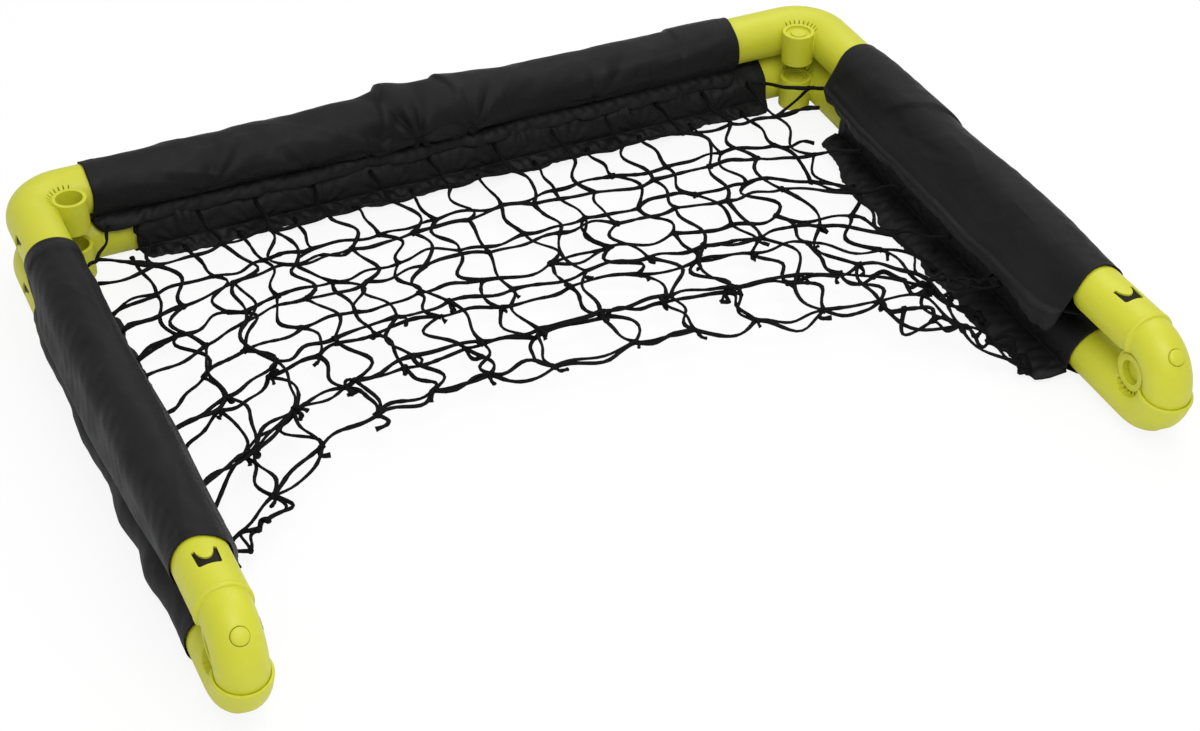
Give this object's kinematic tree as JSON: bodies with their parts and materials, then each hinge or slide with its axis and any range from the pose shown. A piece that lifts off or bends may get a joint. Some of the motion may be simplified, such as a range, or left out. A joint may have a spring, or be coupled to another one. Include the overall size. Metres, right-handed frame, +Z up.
{
  "type": "folding soccer goal",
  "caption": "Small folding soccer goal, shown folded flat: two U-shaped frames of sleeved plastic tube, hinged at the front, with netting laced between them.",
  "frame": {"origin": "middle of the folded goal's footprint, on the floor", "axes": "+X along the crossbar, +Y from the hinges towards the back bar, +Z up"},
  "size_m": [0.7837, 0.6115, 0.1003],
  "materials": {
    "lime_plastic": "satin moulded plastic, yellow-green",
    "tube_plastic": "extruded plastic tube, black",
    "sleeve_cloth": "woven polyester, black, with a soft sheen",
    "net_twine": "twisted twine, black",
    "spring_steel": "bright spring wire"
  },
  "bodies": {
    "base_frame": {"back_bar_tube": "tube_plastic", "back_bar_sleeve": "sleeve_cloth", "back_elbow_left": "lime_plastic", "back_elbow_right": "lime_plastic", "side_rail_tube_left": "tube_plastic", "side_rail_tube_right": "tube_plastic", "side_rail_sleeve_left": "sleeve_cloth", "side_rail_sleeve_right": "sleeve_cloth", "base_hinge_left": "lime_plastic", "base_hinge_right": "lime_plastic", "hinge_pin_left": "lime_plastic", "hinge_pin_right": "lime_plastic", "net": "net_twine"},
    "goal_frame": {"crossbar_tube": "tube_plastic", "crossbar_sleeve": "sleeve_cloth", "crossbar_elbow_left": "lime_plastic", "crossbar_elbow_right": "lime_plastic", "post_tube_left": "tube_plastic", "post_tube_right": "tube_plastic", "post_sleeve_left": "sleeve_cloth", "post_sleeve_right": "sleeve_cloth", "post_hinge_left": "lime_plastic", "post_hinge_right": "lime_plastic", "lock_spring_left": "spring_steel", "lock_spring_right": "spring_steel"},
    "lock_button_left": {"lock_button_left": "lime_plastic"},
    "lock_button_right": {"lock_button_right": "lime_plastic"}
  },
  "joints": [
    {"name": "frame_fold", "type": "hinge", "parent": "base_frame", "child": "goal_frame", "pos_m": [0, -0.25698, 0.05057], "axis": [1, 0, 0], "range_deg": [0, 91.2], "deforming": ["net"]},
    {"name": "lock_press_left", "type": "slide", "parent": "goal_frame", "child": "lock_button_left", "axis": [0, 0.6981, -0.716], "range_m": [0, 0.0025], "stiffness_N_per_m": 600, "springref_m": -0.002, "deforming": ["lock_spring_left"]},
    {"name": "lock_press_right", "type": "slide", "parent": "goal_frame", "child": "lock_button_right", "axis": [0, 0.6981, -0.716], "range_m": [0, 0.0025], "stiffness_N_per_m": 600, "springref_m": -0.002, "deforming": ["lock_spring_right"]}
  ]
}
